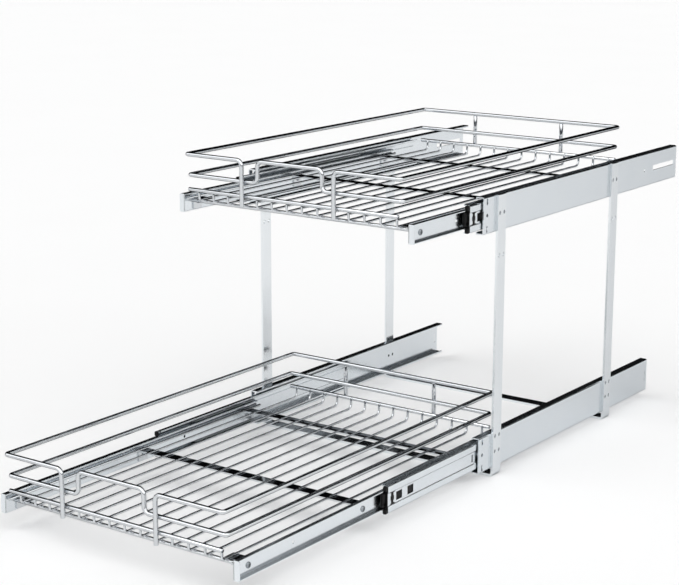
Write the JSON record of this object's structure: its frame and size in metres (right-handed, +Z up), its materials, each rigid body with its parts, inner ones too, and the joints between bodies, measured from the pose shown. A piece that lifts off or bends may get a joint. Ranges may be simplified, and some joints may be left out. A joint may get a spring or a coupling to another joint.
{
  "type": "pull out cabinet basket",
  "caption": "Two-tier wire pull-out organiser for a base cabinet: chrome baskets on telescopic ball slides, held by bent steel straps.",
  "frame": {"origin": "on the cabinet floor, in the middle of the four floor screw holes", "axes": "+X to the right seen from the front, +Y to the back of the cabinet, +Z up"},
  "size_m": [0.358, 0.9733, 0.3916],
  "materials": {
    "wire_chrome": "bright chrome plate",
    "slide_steel": "bright zinc plate",
    "strap_steel": "bright zinc plate",
    "fastener_steel": "zinc plate",
    "cage_steel": "pressed, plain zinc",
    "ball_steel": "polished",
    "black_plastic": "moulded, fine satin"
  },
  "bodies": {
    "frame": {"front_strap": "strap_steel", "rear_strap": "strap_steel", "rail_rivets": "fastener_steel", "lower_rail_left": "slide_steel", "lower_rail_right": "slide_steel", "upper_rail_left": "slide_steel", "upper_rail_right": "slide_steel"},
    "lower_basket": {"lower_deck_wires": "wire_chrome", "lower_lip_wires": "wire_chrome", "lower_side_wires": "wire_chrome", "lower_front_cross_wire": "wire_chrome", "lower_top_guard_wire": "wire_chrome", "lower_low_guard_wire": "wire_chrome", "lower_rear_stays": "wire_chrome", "lower_cross_bars": "wire_chrome", "lower_slide_screws": "fastener_steel", "lower_inner_member_left": "slide_steel", "lower_inner_member_right": "slide_steel"},
    "lower_middle_left": {"lower_middle_member_left": "slide_steel", "lower_slide_nose_left": "black_plastic"},
    "lower_outer_bearing_left": {"lower_outer_cage_left": "cage_steel", "lower_outer_balls_left": "ball_steel"},
    "lower_inner_bearing_left": {"lower_inner_cage_left": "cage_steel", "lower_inner_balls_left": "ball_steel"},
    "lower_lever_left": {"lower_release_lever_left": "black_plastic"},
    "lower_middle_right": {"lower_middle_member_right": "slide_steel", "lower_slide_nose_right": "black_plastic"},
    "lower_outer_bearing_right": {"lower_outer_cage_right": "cage_steel", "lower_outer_balls_right": "ball_steel"},
    "lower_inner_bearing_right": {"lower_inner_cage_right": "cage_steel", "lower_inner_balls_right": "ball_steel"},
    "lower_lever_right": {"lower_release_lever_right": "black_plastic"},
    "upper_basket": {"upper_deck_wires": "wire_chrome", "upper_lip_wires": "wire_chrome", "upper_side_wires": "wire_chrome", "upper_front_cross_wire": "wire_chrome", "upper_top_guard_wire": "wire_chrome", "upper_low_guard_wire": "wire_chrome", "upper_rear_stays": "wire_chrome", "upper_cross_bars": "wire_chrome", "upper_slide_screws": "fastener_steel", "upper_inner_member_left": "slide_steel", "upper_inner_member_right": "slide_steel"},
    "upper_middle_left": {"upper_middle_member_left": "slide_steel", "upper_slide_nose_left": "black_plastic"},
    "upper_outer_bearing_left": {"upper_outer_cage_left": "cage_steel", "upper_outer_balls_left": "ball_steel"},
    "upper_inner_bearing_left": {"upper_inner_cage_left": "cage_steel", "upper_inner_balls_left": "ball_steel"},
    "upper_lever_left": {"upper_release_lever_left": "black_plastic"},
    "upper_middle_right": {"upper_middle_member_right": "slide_steel", "upper_slide_nose_right": "black_plastic"},
    "upper_outer_bearing_right": {"upper_outer_cage_right": "cage_steel", "upper_outer_balls_right": "ball_steel"},
    "upper_inner_bearing_right": {"upper_inner_cage_right": "cage_steel", "upper_inner_balls_right": "ball_steel"},
    "upper_lever_right": {"upper_release_lever_right": "black_plastic"}
  },
  "joints": [
    {"name": "lower_basket_slide", "type": "slide", "parent": "frame", "child": "lower_basket", "axis": [0, -1, 0], "range_m": [-0.45, 0]},
    {"name": "lower_middle_slide_left", "type": "slide", "parent": "frame", "child": "lower_middle_left", "axis": [0, -1, 0], "range_m": [-0.23625, 0]},
    {"name": "lower_outer_cage_roll_left", "type": "slide", "parent": "frame", "child": "lower_outer_bearing_left", "axis": [0, -1, 0], "range_m": [-0.11813, 0]},
    {"name": "lower_inner_cage_roll_left", "type": "slide", "parent": "frame", "child": "lower_inner_bearing_left", "axis": [0, -1, 0], "range_m": [-0.34313, 0]},
    {"name": "lower_lever_pivot_left", "type": "hinge", "parent": "lower_basket", "child": "lower_lever_left", "pos_m": [-0.1643, -0.356, 0.033], "axis": [1, 0, 0], "range_deg": [-6, 6], "stiffness_Nm_per_rad": 0.05},
    {"name": "lower_middle_slide_right", "type": "slide", "parent": "frame", "child": "lower_middle_right", "axis": [0, -1, 0], "range_m": [-0.23625, 0]},
    {"name": "lower_outer_cage_roll_right", "type": "slide", "parent": "frame", "child": "lower_outer_bearing_right", "axis": [0, -1, 0], "range_m": [-0.11813, 0]},
    {"name": "lower_inner_cage_roll_right", "type": "slide", "parent": "frame", "child": "lower_inner_bearing_right", "axis": [0, -1, 0], "range_m": [-0.34313, 0]},
    {"name": "lower_lever_pivot_right", "type": "hinge", "parent": "lower_basket", "child": "lower_lever_right", "pos_m": [0.1643, -0.356, 0.033], "axis": [1, 0, 0], "range_deg": [-6, 6], "stiffness_Nm_per_rad": 0.05},
    {"name": "upper_basket_slide", "type": "slide", "parent": "frame", "child": "upper_basket", "axis": [0, -1, 0], "range_m": [-0.1385, 0.3115]},
    {"name": "upper_middle_slide_left", "type": "slide", "parent": "frame", "child": "upper_middle_left", "axis": [0, -1, 0], "range_m": [-0.07271, 0.16354]},
    {"name": "upper_outer_cage_roll_left", "type": "slide", "parent": "frame", "child": "upper_outer_bearing_left", "axis": [0, -1, 0], "range_m": [-0.03636, 0.08177]},
    {"name": "upper_inner_cage_roll_left", "type": "slide", "parent": "frame", "child": "upper_inner_bearing_left", "axis": [0, -1, 0], "range_m": [-0.10561, 0.23752]},
    {"name": "upper_lever_pivot_left", "type": "hinge", "parent": "upper_basket", "child": "upper_lever_left", "pos_m": [-0.1643, -0.0445, 0.3276], "axis": [1, 0, 0], "range_deg": [-6, 6], "stiffness_Nm_per_rad": 0.05},
    {"name": "upper_middle_slide_right", "type": "slide", "parent": "frame", "child": "upper_middle_right", "axis": [0, -1, 0], "range_m": [-0.07271, 0.16354]},
    {"name": "upper_outer_cage_roll_right", "type": "slide", "parent": "frame", "child": "upper_outer_bearing_right", "axis": [0, -1, 0], "range_m": [-0.03636, 0.08177]},
    {"name": "upper_inner_cage_roll_right", "type": "slide", "parent": "frame", "child": "upper_inner_bearing_right", "axis": [0, -1, 0], "range_m": [-0.10561, 0.23752]},
    {"name": "upper_lever_pivot_right", "type": "hinge", "parent": "upper_basket", "child": "upper_lever_right", "pos_m": [0.1643, -0.0445, 0.3276], "axis": [1, 0, 0], "range_deg": [-6, 6], "stiffness_Nm_per_rad": 0.05}
  ],
  "couplings": [
    {"joint": "lower_middle_slide_left", "follows": "lower_basket_slide", "ratio": 0.525},
    {"joint": "lower_outer_cage_roll_left", "follows": "lower_basket_slide", "ratio": 0.2625},
    {"joint": "lower_inner_cage_roll_left", "follows": "lower_basket_slide", "ratio": 0.7625},
    {"joint": "lower_middle_slide_right", "follows": "lower_basket_slide", "ratio": 0.525},
    {"joint": "lower_outer_cage_roll_right", "follows": "lower_basket_slide", "ratio": 0.2625},
    {"joint": "lower_inner_cage_roll_right", "follows": "lower_basket_slide", "ratio": 0.7625},
    {"joint": "upper_middle_slide_left", "follows": "upper_basket_slide", "ratio": 0.525},
    {"joint": "upper_outer_cage_roll_left", "follows": "upper_basket_slide", "ratio": 0.2625},
    {"joint": "upper_inner_cage_roll_left", "follows": "upper_basket_slide", "ratio": 0.7625},
    {"joint": "upper_middle_slide_right", "follows": "upper_basket_slide", "ratio": 0.525},
    {"joint": "upper_outer_cage_roll_right", "follows": "upper_basket_slide", "ratio": 0.2625},
    {"joint": "upper_inner_cage_roll_right", "follows": "upper_basket_slide", "ratio": 0.7625}
  ]
}
